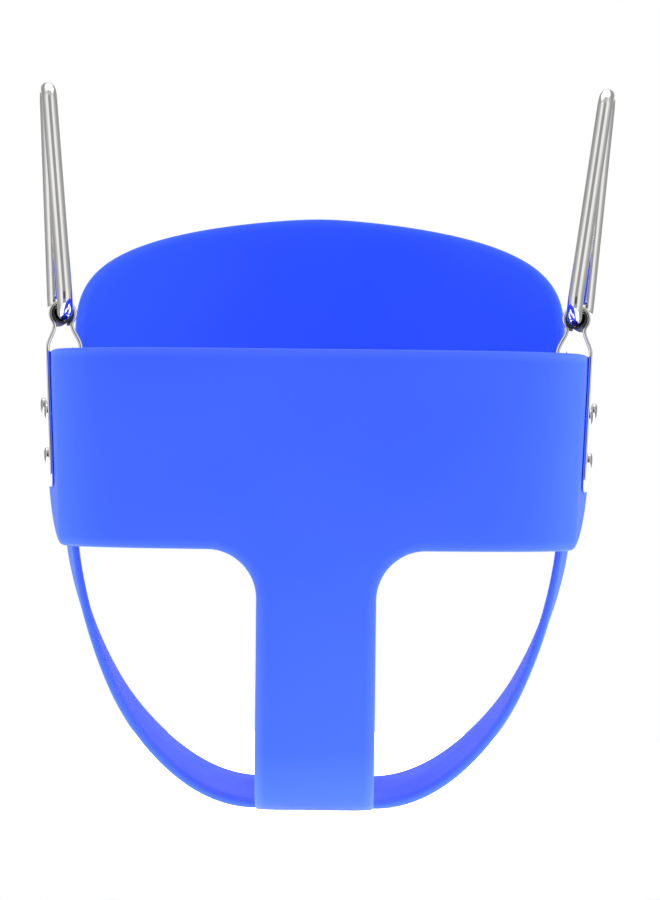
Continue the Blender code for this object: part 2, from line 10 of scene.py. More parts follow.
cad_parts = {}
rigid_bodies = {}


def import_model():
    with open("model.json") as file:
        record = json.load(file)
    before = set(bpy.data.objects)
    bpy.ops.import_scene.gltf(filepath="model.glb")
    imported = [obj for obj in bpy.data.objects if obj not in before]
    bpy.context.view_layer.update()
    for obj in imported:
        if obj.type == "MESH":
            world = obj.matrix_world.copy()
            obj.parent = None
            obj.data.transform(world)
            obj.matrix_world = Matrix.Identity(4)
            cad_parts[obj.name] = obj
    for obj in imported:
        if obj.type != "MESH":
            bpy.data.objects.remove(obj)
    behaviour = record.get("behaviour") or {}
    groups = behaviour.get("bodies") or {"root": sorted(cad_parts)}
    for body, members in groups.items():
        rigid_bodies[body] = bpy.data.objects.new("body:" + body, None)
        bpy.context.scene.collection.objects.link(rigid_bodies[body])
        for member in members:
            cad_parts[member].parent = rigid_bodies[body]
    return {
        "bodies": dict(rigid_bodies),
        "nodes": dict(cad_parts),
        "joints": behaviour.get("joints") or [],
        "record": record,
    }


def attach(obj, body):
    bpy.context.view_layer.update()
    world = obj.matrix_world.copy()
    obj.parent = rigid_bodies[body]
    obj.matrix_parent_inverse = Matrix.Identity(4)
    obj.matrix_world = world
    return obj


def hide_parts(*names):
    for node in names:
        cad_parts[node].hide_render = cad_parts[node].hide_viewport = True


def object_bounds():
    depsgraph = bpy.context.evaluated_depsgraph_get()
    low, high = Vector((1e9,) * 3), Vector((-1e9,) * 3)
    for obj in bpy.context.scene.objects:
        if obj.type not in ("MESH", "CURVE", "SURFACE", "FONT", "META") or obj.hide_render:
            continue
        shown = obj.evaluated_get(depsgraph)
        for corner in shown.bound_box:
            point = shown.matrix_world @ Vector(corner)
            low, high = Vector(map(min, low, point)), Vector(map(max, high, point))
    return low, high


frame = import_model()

CAD_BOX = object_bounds()
MM = 0.001

# --- the part's dimensions, in millimetres ------------------------------------------------
RIM_HEIGHT = 245.0            # rim above the flat bottom of the seat
BAND_HEIGHT = 105.2           # front and rear bands, measured down the wall
SHEET = 4.9                   # thickness of each EVA moulding
GAP = 0.3                     # clearance between touching pieces
LAYER = SHEET + GAP           # pitch of the sheets
STACK = 3 * SHEET + 2 * GAP   # three sheets between the bracket's legs
TAPER = math.radians(2.7)     # the walls lean in towards the bottom
YAW = math.radians(8.0)       # the flanks open towards the rear
FLANK_X = 148.9               # outer half width at the bracket
FLANK_Y = -21.0               # where the brackets sit, front to rear
FLANK_FRONT_Y = -58.0         # the flat part of each flank
FLANK_REAR_Y = 30.0
FRONT_Y = -112.0              # outer face of the front band at the rim
REAR_Y = 110.0                # outer face of the back panel at the rim
FRONT_FLAT = 42.0             # half of the flat stretch at the middle of the front
REAR_FLAT = 28.0              # half of the flat stretch at the middle of the rear
FRONT_HANDLES = (58.0, 40.0)  # Bezier handles of the front corners, at the flat and the flank
REAR_HANDLES = (62.0, 36.0)   # and of the rear corners

STRAP_HALF = 31.4             # crotch strap, half width
STRAP_FILLET = 26.0           # round corner between the band and the crotch strap
STRAP_BEND = 36.0             # bend of the crotch strap into the flat bottom
ARM_CORNER = 17.0             # rounded corners at the ends of both bands
ARM_SWEEP_RUN = 100.0         # the front band's lower edge sweeps up towards its rear end
ARM_SWEEP_RISE = 40.0
FRONT_ARM_Y = 24.0            # the front band ends here, just behind the bracket
BACK_ARM_Y = -48.0            # the arm of the back panel ends here, between the other layers
BACK_ARM_LIFT = 34.0          # its lower edge rises under the front band's arm
LIFT_START = 2.0              # the rise starts this far inside the end of the front band
LIFT_END = 3.0                # and ends this far behind the wings

BACK_RISE = 83.3              # high back above the rim
BACK_HALF = 155.5             # half width of the high back along the sheet
BACK_POWER = 1.65             # its top edge is a superellipse
BACK_ROOT = 3.2
SHOULDER = 12.0               # fillet between the high back and the rim of its arm
REAR_STRAP_HALF = 27.0
REAR_STRAP_FILLET = 20.0
REAR_STRAP_BEND = 32.0
REAR_STRAP_END_Y = 2.0        # the rear strap ends here, on top of the bottom pad

SLING_FRONT_Y = -62.0         # side wings at the bottom pad
SLING_REAR_Y = 80.0
WING_FRONT_Y = -45.0          # side wings inside the bracket
WING_REAR_Y = 4.0
WING_BOW = 3.1                # the wings bow outward between the bracket and the bottom
BOW_TOP = 36.0                # the bow fades in over this much height below the bracket
BOW_FOOT = 60.0               # and fades out over this much height above the bottom
SPLAY_POWER = 1.5             # how late up the wings they take on the flanks' angle
WING_TOP = 3.0                # the wings stop this far below the rim
SLING_SIDE = (124.8, 85.0)    # handles of the side profile, (x, z)
SLING_BOTTOM = (92.6, 0.0)

STEEL = 2.0                   # bracket sheet
EYE_RISE = 20.0               # hinge axis above the rim
EYE_DROP = 0.5                # the curl's own axis is lower: the rod sits high in its bush
ROD = 8.4                     # hanger rod diameter
BUSH_BORE = ROD / 2 + 0.5     # the bore runs round the rod, off the bush's own axis
BUSH_RADIUS = BUSH_BORE + 0.8
EYE_RADIUS = BUSH_RADIUS + 0.2   # inside of the curl
EYE_HALF = 23.0               # half width of the curl
BUSH_HALF = EYE_HALF + 1.0
PLATE_TOP_HALF = 25.0
PLATE_END_HALF = 20.0
PLATE_DEPTH = 74.0            # plate ends this far below the rim
PLATE_CORNER = 8.0
PLATE_FLARE = 12.0            # the plate widens over this much height above the rim
CURL_END = math.radians(-35)  # the curl meets the flare at this angle
FLARE_LEAVE = 5.0             # Bezier handle of the flare at the curl
FLARE_ARRIVE = 6.0            # and the height of its handle above the leg
FLARE_FOOT = 0.8              # the leg is straight below this height

HANGER_HALF = 37.0            # rod centreline, half length of the base
HANGER_RISE = 123.5           # rod centreline, top above the hinge axis
HANGER_BEND = 9.0
LEAN = {1: math.radians(6.6), -1: math.radians(3.8)}   # each hanger leans outward at rest
SKEW = math.radians(1.0)      # and sits slightly askew in its loose bush

SHANK = 2.5                   # rivet radii and heads
RIVETS = {"upper_front": (-17.5, -33.0), "upper_rear": (17.5, -29.5), "lower": (0.0, -57.0)}
HEAD = 4.4
HEAD_RISE = 1.7
TAIL_RISE = 0.8 * HEAD_RISE
TAIL = 0.93 * HEAD
PAD_RIVETS = {"front_left": (-16, 16), "front_right": (16, 16),
              "rear_left": (-16, 48), "rear_right": (16, 48)}
PAD_HEAD = 6.0
PAD_HEAD_DEPTH = 1.8
PAD_FLOOR = 0.3               # the heads stay above the resting face
PAD_TAIL_RISE = 1.5
WASHER = 8.0
WASHER_RISE = 1.6

# --- finish, in millimetres ---------------------------------------------------------------
EVA_EDGE = 1.7                # rounding of the EVA sheets' edges
STEEL_EDGE = 0.55             # rounding of the bracket's edges
CELL = 3.0                    # size of the mesh cells on the sheets
EVA_CROWN = (0.3, 0.9)        # how far the outer and inner faces fall towards the edges
STEEL_CROWN = (0.0, 0.0)
CROWN_REACH = 11.0            # the crown's fall starts this far from the edge
EDGE_REACH = 9.0              # how far into the sheet the rounding moves the mesh
CURVE_STEPS = 240             # pieces of the long Bezier curves
CURL_STEPS = 60               # pieces of the curl, and of the flare below it
CURL_CELL = 0.9               # mesh cells along the curl and the flare
LEG_CELL = 2.0                # and along the straight legs
CURL_RUN = 30.0               # the finer cells end this far along the strap
BEND_STEPS = 24               # pieces of each bend of the hangers
ROD_CELL = 4.0                # and cells along its straight runs
DOME_STEPS = 13
DOME_LIP = 0.35               # straight rim of a rivet head
DOME_POWER = 0.8              # below 1 the head is fuller than a half ellipse
PAD_ROUND = (0.7, 0.2)        # long and short leg of the pad rivets' rounded rim
WASHER_BEVEL = 0.5            # top edge of the washers
BREAK = 0.15                  # broken edges of the washers
BUSH_BREAK = 0.2              # and of the bushes
POCKET_REACH = 2.0            # the pocket cutters start this far under the seat
POCKET_BEVEL = 0.6            # broken edge of the pockets
SIDES = {1: "right", -1: "left"}


# --- small curves -------------------------------------------------------------------------
def spread(start, end, step):
    """Even values from start to end, at most step apart."""
    count = max(1, math.ceil(abs(end - start) / step))
    return [start + (end - start) * i / count for i in range(count + 1)]


def bezier(p0, p1, p2, p3, steps):
    """Points of a cubic Bezier curve in the plane."""
    points = []
    for i in range(steps + 1):
        t = i / steps
        k = 1 - t
        points.append(tuple(k ** 3 * a + 3 * k * k * t * b + 3 * k * t * t * c + t ** 3 * d
                            for a, b, c, d in zip(p0, p1, p2, p3)))
    return points


def ease(t):
    """0 below 0, 1 above 1 and smooth between."""
    t = min(1.0, max(0.0, t))
    return t * t * (3 - 2 * t)


class Path:
    """A polyline that is read by arc length."""

    def __init__(self, points):
        self.points = [Vector(p) for p in points]
        self.at = [0.0]
        for a, b in zip(self.points, self.points[1:]):
            self.at.append(self.at[-1] + (b - a).length)

    def place(self, s):
        """Point at arc length s; the ends run on straight."""
        i = min(max(bisect.bisect_left(self.at, s), 1), len(self.at) - 1)
        a, b = self.points[i - 1], self.points[i]
        return a + (b - a) * ((s - self.at[i - 1]) / (self.at[i] - self.at[i - 1]))

    def read(self, s, reach=0.5):
        """Point and unit tangent at arc length s."""
        along = self.place(s + reach) - self.place(s - reach)
        return self.place(s), along.normalized()


def flank(y, offset=0.0):
    """Plan point on the flank at depth y, moved in from the outer face by offset."""
    return Vector((FLANK_X + (y - FLANK_Y) * math.tan(YAW) - offset / math.cos(YAW), y))


HEADING = Vector((math.sin(YAW), math.cos(YAW)))     # rearward along the right flank


def front_plan():
    """Right half of the front band's outer face, from the middle to the end of the arm."""
    start, end = Vector((FRONT_FLAT, FRONT_Y)), flank(FLANK_FRONT_Y)
    leave, arrive = FRONT_HANDLES
    curve = bezier(start, start + Vector((leave, 0)), end - HEADING * arrive, end, CURVE_STEPS)
    return Path([(0, FRONT_Y)] + curve + [flank(FRONT_ARM_Y)])


def back_plan():
    """Right half of the back panel's outer face, from the rear middle to its front arm."""
    start, end = Vector((REAR_FLAT, REAR_Y)), flank(FLANK_REAR_Y, LAYER)
    leave, arrive = REAR_HANDLES
    curve = bezier(start, start + Vector((leave, 0)), end + HEADING * arrive, end, CURVE_STEPS)
    return Path([(0, REAR_Y)] + curve + [flank(BACK_ARM_Y, LAYER)])


def sling_profile():
    """Right half of the sling's outer face in the XZ plane, from the bottom middle up."""
    slope = math.tan(TAPER) / math.cos(YAW)
    offset = 2 * LAYER / (math.cos(YAW) * math.cos(TAPER))
    side_x = FLANK_X + (WING_FRONT_Y - FLANK_Y) * math.tan(YAW) - offset

    def side(z):
        return Vector((side_x + (z - RIM_HEIGHT) * slope, z))

    low = side(RIM_HEIGHT - BAND_HEIGHT)
    curve = bezier((STRAP_HALF, 0), SLING_BOTTOM, SLING_SIDE, low, CURVE_STEPS)
    return Path([(0, 0)] + curve + [side(RIM_HEIGHT - WING_TOP)])


FRONT = front_plan()
BACK = back_plan()
SLING = sling_profile()


# --- from the flat sheet to the bent sheet ------------------------------------------------
def wall_point(plan, turn, s, v, depth):
    """Wall point s along the plan, v down the wall and depth into the sheet.

    turn is +1 where the plan runs with the outside on its right, else -1.
    """
    side = 1 if s >= 0 else -1
    point, along = plan.read(abs(s))
    if abs(s) < 1:
        along = Vector((1, 0))
    normal = Vector((along.y, -along.x)) * turn
    inward = v * math.sin(TAPER) + depth * math.cos(TAPER)
    plan_point = point - normal * inward
    z = RIM_HEIGHT - v * math.cos(TAPER) + depth * math.sin(TAPER)
    return Vector((side * plan_point.x, plan_point.y, z))


def bent_strap(turn, edge_y, x, v, depth, straight, bend, floor):
    """Strap point: down the wall, round the bend and flat along the bottom."""
    if v <= straight:
        inward = v * math.sin(TAPER) + depth * math.cos(TAPER)
        z = RIM_HEIGHT - v * math.cos(TAPER) + depth * math.sin(TAPER)
        return Vector((x, edge_y + turn * inward, z))
    bend_length = bend * (math.pi / 2 - TAPER)
    angle = TAPER + min(v - straight, bend_length) / bend
    centre_y = edge_y + turn * (straight * math.sin(TAPER) + bend * math.cos(TAPER))
    run = max(0.0, v - straight - bend_length)
    y = centre_y - turn * ((bend - depth) * math.cos(angle) - run)
    return Vector((x, y, floor + bend - (bend - depth) * math.sin(angle)))


def strap_straight(height, bend):
    """Length of a strap's straight part, down to its bend."""
    return (height - bend * (1 - math.sin(TAPER))) / math.cos(TAPER)


FRONT_STRAIGHT = strap_straight(RIM_HEIGHT, STRAP_BEND)
FRONT_BEND_END = FRONT_STRAIGHT + STRAP_BEND * (math.pi / 2 - TAPER)
FRONT_BEND_Y = FRONT_Y + FRONT_STRAIGHT * math.sin(TAPER) + STRAP_BEND * math.cos(TAPER)
REAR_STRAIGHT = strap_straight(RIM_HEIGHT - LAYER, REAR_STRAP_BEND)
REAR_BEND_END = REAR_STRAIGHT + REAR_STRAP_BEND * (math.pi / 2 - TAPER)
REAR_BEND_Y = REAR_Y - REAR_STRAIGHT * math.sin(TAPER) - REAR_STRAP_BEND * math.cos(TAPER)


def seat_v(y):
    """Distance down the seat's pattern where the bottom pad lies at depth y."""
    return FRONT_BEND_END + (y - FRONT_BEND_Y)


def sling_outer(u, y):
    """Point of the sling's outer face u along its profile and y from front to rear."""
    point = SLING.place(u)
    z = max(0.0, point.y)
    splay = min(1.0, z / (RIM_HEIGHT - BAND_HEIGHT)) ** SPLAY_POWER
    bow = WING_BOW * ease((RIM_HEIGHT - PLATE_DEPTH - z) / BOW_TOP) * ease(z / BOW_FOOT)
    return Vector((point.x + bow + (y - WING_FRONT_Y) * math.tan(YAW) * splay, y, z))


def sling_point(u, y, depth):
    """Point of the wings or the bottom pad, depth into the sheet."""
    side = 1 if u >= 0 else -1
    step = 0.5
    u = abs(u)
    along = sling_outer(u + step, y) - sling_outer(max(0.0, u - step), y)
    across = sling_outer(u, y + step) - sling_outer(u, y - step)
    inward = along.cross(across).normalized()
    if u < STRAP_HALF and inward.z < 0 or u >= STRAP_HALF and inward.x > 0:
        inward = -inward
    point = sling_outer(u, y) + inward * depth
    return Vector((side * point.x, point.y, point.z))


def seat_point(s, v, depth):
    """Point of the seat moulding, from its flat pattern."""
    if v >= seat_v(SLING_FRONT_Y) - 0.001:
        return sling_point(s, v - seat_v(0), depth)
    if v > BAND_HEIGHT + 1 and abs(s) <= STRAP_HALF + 0.001:
        return bent_strap(1, FRONT_Y, s, v, depth, FRONT_STRAIGHT, STRAP_BEND, 0.0)
    return wall_point(FRONT, 1, s, v, depth)


def back_point(s, v, depth):
    """Point of the back moulding, from its flat pattern."""
    if v > BAND_HEIGHT + 1 and abs(s) <= REAR_STRAP_HALF + 0.001:
        return bent_strap(-1, REAR_Y, s, v, depth, REAR_STRAIGHT, REAR_STRAP_BEND, LAYER)
    return wall_point(BACK, -1, s, v, depth)


# --- flat patterns as blocks of quads -----------------------------------------------------
class Pattern:
    """Quads in the flat sheet; blocks that touch share their corners."""

    def __init__(self):
        self.corners = {}
        self.quads = []

    def corner(self, s, v):
        key = (round(s, 3), round(v, 3))
        return self.corners.setdefault(key, len(self.corners))

    def block(self, columns, low, high, rows):
        """Quads between low(s) and high(s), over the columns."""
        grid = [[self.corner(s, low(s) + (high(s) - low(s)) * r / rows) for r in range(rows + 1)]
                for s in columns]
        for a, b in zip(grid, grid[1:]):
            for r in range(rows):
                quad = tuple(dict.fromkeys((a[r], b[r], b[r + 1], a[r + 1])))
                if len(quad) > 2:
                    self.quads.append(quad)

    def rims(self):
        """The pattern's outlines, each a closed list of corners with the sheet on its left."""
        once = {}
        for quad in self.quads:
            for a, b in zip(quad, quad[1:] + quad[:1]):
                if once.pop((b, a), None) is None:
                    once[(a, b)] = True
        after = dict(once)
        loops = []
        while after:
            start = min(after)[0]
            loop = [start]
            steps = {a: b for a, b in after}
            while steps[loop[-1]] != start:
                loop.append(steps[loop[-1]])
            loops.append(loop)
            after = {edge: True for edge in after if edge[0] not in set(loop)}
        return loops


def both_sides(values):
    """The values and their negatives, in order, each once."""
    return sorted({round(k * v, 6) for v in values for k in (-1, 1)})


def corner_arc(end, radius, steps):
    """Columns along a rounded corner that ends at s = end."""
    return [end - radius * (1 - math.sin(math.pi / 2 * i / steps)) for i in range(steps + 1)]


def corner_cut(s, end, radius):
    """How much a rounded corner takes off the sheet's height at s."""
    inside = abs(s) - (end - radius)
    if inside <= 0:
        return 0.0
    return radius - math.sqrt(max(0.0, radius ** 2 - inside ** 2))


def arm_sweep(s, end):
    """How far the front band's lower edge has risen at s, on an ellipse that ends upright."""
    inside = min(1.0, max(0.0, (abs(s) - (end - ARM_SWEEP_RUN)) / ARM_SWEEP_RUN))
    return ARM_SWEEP_RISE * (1 - math.sqrt(1 - inside ** 2))


def fillet_columns(half, radius, steps):
    """Columns from a strap's edge out to where its fillet meets the band."""
    return [half + radius * (1 - math.cos(math.pi / 2 * i / steps)) for i in range(steps + 1)]


def fillet_drop(s, half, radius):
    """How far the band reaches down beside a strap."""
    inside = half + radius - abs(s)
    if inside <= 0:
        return 0.0
    return radius - math.sqrt(max(0.0, radius ** 2 - min(inside, radius) ** 2))


def seat_pattern():
    """Front band, crotch strap, bottom pad and side wings."""
    pattern = Pattern()
    end = FRONT.at[-1]
    strap = both_sides(spread(0, STRAP_HALF, CELL))
    columns = both_sides(
        spread(0, STRAP_HALF, CELL) + fillet_columns(STRAP_HALF, STRAP_FILLET, 16)
        + spread(STRAP_HALF + STRAP_FILLET, end - ARM_CORNER, CELL)
        + corner_arc(end, ARM_CORNER, 16))
    pattern.block(columns, lambda s: corner_cut(s, end, ARM_CORNER),
                  lambda s: BAND_HEIGHT + fillet_drop(s, STRAP_HALF, STRAP_FILLET)
                  - arm_sweep(s, end), 32)
    pad_front, pad_rear = seat_v(SLING_FRONT_Y), seat_v(SLING_REAR_Y)
    pattern.block(strap, lambda s: BAND_HEIGHT + STRAP_FILLET, lambda s: pad_front, 80)
    wing = spread(STRAP_HALF, SLING.at[-1], CELL)

    def reach(s):
        """0 at the bottom pad, 1 from the lower edge of the band upwards."""
        return min(1.0, max(0.0, SLING.place(abs(s)).y) / (RIM_HEIGHT - BAND_HEIGHT))

    def near(s):
        return pad_front + (WING_FRONT_Y - SLING_FRONT_Y) * reach(s)

    def far(s):
        return pad_rear + (WING_REAR_Y - SLING_REAR_Y) * reach(s)

    for columns in (strap, wing, [-s for s in reversed(wing)]):
        pattern.block(columns, near, far, 36)
    return pattern


def back_top(s):
    """Height of the back panel above the rim, with a shoulder where it meets the arm."""
    inside = max(0.0, 1 - (abs(s) / BACK_HALF) ** BACK_POWER)
    shoulder = fillet_drop(max(abs(s), BACK_HALF), BACK_HALF, SHOULDER)
    return max(BACK_RISE * inside ** (1 / BACK_ROOT), shoulder)


def outline_columns(height, end, step):
    """Columns from the middle to end that are evenly spaced along a curve's outline."""
    samples = [end * (1 - (1 - i / 2000) ** 3) for i in range(2001)]
    curve = Path([(s, height(s)) for s in samples])
    return [curve.place(at).x for at in spread(0, curve.at[-1], step)]


def back_pattern():
    """Back panel with its arms, and the rear strap."""
    pattern = Pattern()
    end = BACK.at[-1]

    def where(y):
        return BACK.at[-1] - (y - BACK_ARM_Y) / math.cos(YAW)

    arm_start, arm_end = where(FRONT_ARM_Y - LIFT_START), where(WING_REAR_Y + LIFT_END)

    def bottom(s):
        lift = BACK_ARM_LIFT * ease((abs(s) - arm_start) / (arm_end - arm_start))
        return (BAND_HEIGHT - lift + fillet_drop(s, REAR_STRAP_HALF, REAR_STRAP_FILLET)
                - corner_cut(s, end, ARM_CORNER))

    low = REAR_STRAP_HALF + REAR_STRAP_FILLET
    side = [s for s in outline_columns(back_top, BACK_HALF, CELL) if s > low + 1]
    columns = both_sides(
        spread(0, REAR_STRAP_HALF, CELL) + fillet_columns(REAR_STRAP_HALF, REAR_STRAP_FILLET, 14)
        + side + fillet_columns(BACK_HALF, SHOULDER, 10)
        + spread(BACK_HALF + SHOULDER, end - ARM_CORNER, CELL) + corner_arc(end, ARM_CORNER, 14))
    pattern.block(columns, lambda s: corner_cut(s, end, ARM_CORNER) - back_top(s), bottom, 60)
    strap_end = REAR_BEND_END + (REAR_BEND_Y - REAR_STRAP_END_Y)
    strap = both_sides(spread(0, REAR_STRAP_HALF, CELL))
    pattern.block(strap, lambda s: BAND_HEIGHT + REAR_STRAP_FILLET, lambda s: strap_end, 90)
    return pattern


# --- sheets with rounded edges ------------------------------------------------------------
def rim_normals(flat, loop):
    """Outward direction in the flat sheet at each corner of an outline, with its mitre."""
    points = flat[loop]
    along = np.roll(points, -1, 0) - points
    along /= np.linalg.norm(along, axis=1)[:, None]
    out = np.stack([along[:, 1], -along[:, 0]], 1)
    mean = out + np.roll(out, 1, 0)
    mean /= np.linalg.norm(mean, axis=1)[:, None]
    mitre = 1 / np.maximum(0.6, (mean * out).sum(1))
    return mean, mitre


def pull_in(flat, rim, move, reach):
    """Corners moved in from the rims, fading over reach, with the way out at each corner."""
    edge = flat[rim]
    shift = np.zeros_like(flat)
    for start in range(0, len(flat), 500):
        part = slice(start, start + 500)
        gap = np.linalg.norm(flat[part, None] - edge[None], axis=2)
        weight = 1 / np.maximum(gap, 1e-4) ** 4
        fade = np.clip(1 - gap.min(1) / reach, 0, 1) ** 2
        blended = (weight[:, :, None] * move[None]).sum(1) / weight.sum(1)[:, None]
        shift[part] = blended * fade[:, None]
    shift[rim] = move
    moved = flat + shift
    inner = edge + move
    near = np.zeros(len(flat))
    out = np.zeros_like(flat)
    for start in range(0, len(flat), 500):
        part = slice(start, start + 500)
        gap = np.linalg.norm(moved[part, None] - inner[None], axis=2)
        weight = 1 / np.maximum(gap, 1e-4) ** 4
        near[part] = gap.min(1)
        out[part] = -(weight[:, :, None] * move[None]).sum(1) / weight.sum(1)[:, None]
    length = np.linalg.norm(out, axis=1)[:, None]
    return moved, near, out / np.maximum(length, 1e-9)


def crown(near, drop):
    """Fall of a face and the tilt of its normal, near an edge."""
    left = max(0.0, 1 - near / CROWN_REACH)
    return drop * left ** 2, math.atan(2 * drop / CROWN_REACH * left)


def sheet_mesh(name, pattern, bend, thickness, radius, crowns, steps=5):
    """A closed sheet bent from its pattern, with crowned faces, round edges and exact normals."""
    flat = np.array(sorted(pattern.corners, key=pattern.corners.get), float)
    loops = pattern.rims()
    rim = [i for loop in loops for i in loop]
    normals, mitres = zip(*(rim_normals(flat, loop) for loop in loops))
    out, mitre = np.concatenate(normals), np.concatenate(mitres)
    inset = -out * (radius * mitre)[:, None]
    moved, near, away = pull_in(flat, rim, inset, EDGE_REACH * radius / EVA_EDGE)
    points, shades, rim_distances = [], [], []

    def add(s, v, depth, tilt, edge, distance):
        """One vertex; tilt turns its normal from the face (0) to the rim (90) and on."""
        here = bend(s, v, depth)
        normal = (bend(s, v, 0.0) - bend(s, v, thickness)).normalized() * math.cos(tilt)
        if math.sin(tilt) > 1e-6:
            inner = bend(s - 0.2 * edge[0], v - 0.2 * edge[1], depth)
            normal += (here - inner).normalized() * math.sin(tilt)
        points.append(here * MM)
        shades.append(normal.normalized())
        rim_distances.append(distance)
        return len(points) - 1

    def face(drop, far):
        made = []
        for (s, v), distance, edge in zip(moved, near, away):
            depth, tilt = crown(distance, drop)
            if far:
                depth, tilt = thickness - depth, math.pi - tilt
            made.append(add(s, v, depth, tilt, edge, distance))
        return made

    outer, inner = face(crowns[0], False), face(crowns[1], True)
    rings = {}
    for i, index in enumerate(rim):
        ring = [outer[index]]
        for k in range(1, 2 * steps):
            far = k > steps
            share = (2 * steps - k if far else k) / steps
            fall, start = crown(0.0, crowns[far])
            turn = start + (math.pi / 2 - start) * share
            back = radius * (1 - (math.sin(turn) - math.sin(start)) / (1 - math.sin(start)))
            depth = fall + radius * (math.cos(start) - math.cos(turn))
            if k == steps:
                depth = thickness / 2 + (crowns[0] - crowns[1]) / 2
            if far:
                depth, turn = thickness - depth, math.pi - turn
            s, v = flat[index] - out[i] * back * mitre[i]
            ring.append(add(s, v, depth, turn, out[i], 0.0))
        rings[index] = ring + [inner[index]]
    faces = [tuple(outer[i] for i in quad) for quad in pattern.quads]
    faces += [tuple(inner[i] for i in reversed(quad)) for quad in pattern.quads]
    for loop in loops:
        for a, b in zip(loop, loop[1:] + loop[:1]):
            for k in range(2 * steps):
                faces.append((rings[b][k], rings[a][k], rings[a][k + 1], rings[b][k + 1]))
    return finish_mesh(name, points, faces, shades, rim_distances)


def finish_mesh(name, points, faces, shades, rim_distances=None):
    """A mesh with its own vertex normals, faces turned to agree with them."""
    mesh = bpy.data.meshes.new(name)
    agree = 0.0
    for face in faces:
        a, b, c = (points[i] for i in face[:3])
        agree += (b - a).cross(c - b).dot(shades[face[0]])
    if agree < 0:
        faces = [tuple(reversed(face)) for face in faces]
    mesh.from_pydata(points, [], faces)
    mesh.shade_smooth()
    mesh.normals_split_custom_set_from_vertices(shades)
    # each vertex's distance from the sheet's rim, which the EVA looks read for their painted edge
    # highlight
    if rim_distances is not None:
        near = mesh.attributes.new("edge_distance", "FLOAT", "POINT")
        near.data.foreach_set("value", np.array(rim_distances, np.float32) * MM)
    return mesh


def piece(name, mesh, body, look, slot, *nodes):
    """A visible object that rides on a body in place of CAD nodes."""
    made = bpy.data.objects.new(name, mesh)
    bpy.context.scene.collection.objects.link(made)
    mesh.materials.append(look)
    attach(made, body)
    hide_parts(*nodes)
    return made


# --- turned pieces ------------------------------------------------------------------------
def turned(name, profile, segments, frame, closed=False, smooth=38):
    """Solid of revolution about the local x axis; profile is (x, radius) from end to end.

    A third value lifts that ring off the axis.
    """
    points, faces = [], []
    for x, radius, *lift in profile:
        for i in range(segments):
            angle = 2 * math.pi * i / segments
            local = Vector((x, radius * math.cos(angle), radius * math.sin(angle) + sum(lift)))
            points.append((frame @ local) * MM)
    rows = list(range(len(profile)))
    pairs = list(zip(rows, rows[1:]))
    if closed:
        pairs.append((rows[-1], 0))
    for a, b in pairs:
        for i in range(segments):
            j = (i + 1) % segments
            faces.append((a * segments + i, a * segments + j, b * segments + j, b * segments + i))
    if not closed:
        faces.append(tuple(reversed(range(segments))))
        faces.append(tuple(rows[-1] * segments + i for i in range(segments)))
    mesh = bpy.data.meshes.new(name)
    mesh.from_pydata(points, [], faces)
    if frame.determinant() < 0:
        mesh.flip_normals()
    mesh.shade_smooth()
    mesh.set_sharp_from_angle(angle=math.radians(smooth))
    return mesh


def side_frame(side):
    """Local frame of a bracket: x out of the wall, y to the rear, z up the wall."""
    up = Vector((math.cos(YAW) * math.sin(TAPER), -math.sin(YAW) * math.sin(TAPER),
                 math.cos(TAPER)))
    rear = Vector((math.sin(YAW), math.cos(YAW), 0))
    out = rear.cross(up)
    made = Matrix((out, rear, up)).transposed().to_4x4()
    made.translation = Vector((FLANK_X, FLANK_Y, RIM_HEIGHT))
    return Matrix.Diagonal((side, 1, 1, 1)) @ made


def upright(x, y):
    """Frame whose local x axis points up, for the rivets of the bottom pad."""
    return Matrix.Translation((x, y, 0)) @ Matrix.Rotation(-math.pi / 2, 4, "Y")


def dome(face, rise, radius, way):
    """Profile of a rivet head from its rim to its crown; way is +1 or -1 along the axis."""
    points = [(face, radius)]
    for i in range(DOME_STEPS):
        angle = math.pi / 2 * i / DOME_STEPS
        height = DOME_LIP + (rise - DOME_LIP) * math.sin(angle)
        points.append((face + way * height, radius * math.cos(angle) ** DOME_POWER))
    return points


def side_rivet(side, label):
    """Rivet through both legs of a bracket; its head is outside, its formed tail inside."""
    y, z = RIVETS[label]
    face = GAP * 1.5 + STEEL
    far = -STACK - face
    head = dome(face, HEAD_RISE, HEAD, 1)
    tail = dome(far, TAIL_RISE, TAIL, -1)
    profile = list(reversed(tail)) + [(far, SHANK), (face, SHANK)] + head
    place = side_frame(side) @ Matrix.Translation((0, y, z))
    mesh = turned("side_rivet", profile, 48, place)
    node = f"{SIDES[side]}_rivet_{label}"
    return piece(node + "_domed", mesh, "root", LOOKS["rivet"], "rivet_steel", node)


def pad_rivet(label):
    """Rivet with its head in a pocket under the seat and its tail on the washer."""
    top = 2 * LAYER + WASHER_RISE + GAP
    seat = PAD_FLOOR + PAD_HEAD_DEPTH
    long, short = PAD_ROUND
    head = [(PAD_FLOOR, PAD_HEAD - long), (PAD_FLOOR + short, PAD_HEAD - short),
            (PAD_FLOOR + long, PAD_HEAD), (seat, PAD_HEAD), (seat, SHANK), (top, SHANK)]
    tail = dome(top, PAD_TAIL_RISE, HEAD, 1)
    mesh = turned("pad_rivet", head + tail, 48, upright(*PAD_RIVETS[label]))
    node = "pad_rivet_" + label
    return piece(node + "_domed", mesh, "root", LOOKS["rivet"], "rivet_steel", node)


def pad_washer(label):
    """Washer on top of the rear strap."""
    low = 2 * LAYER
    high = low + WASHER_RISE
    bore = SHANK + GAP
    profile = [(low, bore), (low, WASHER - BREAK), (low + BREAK, WASHER),
               (high - WASHER_BEVEL, WASHER), (high - BREAK, WASHER - BREAK),
               (high, WASHER - WASHER_BEVEL), (high, bore)]
    mesh = turned("pad_washer", profile, 64, upright(*PAD_RIVETS[label]), closed=True)
    node = "pad_washer_" + label
    return piece(node + "_turned", mesh, "root", LOOKS["rivet"], "rivet_steel", node)


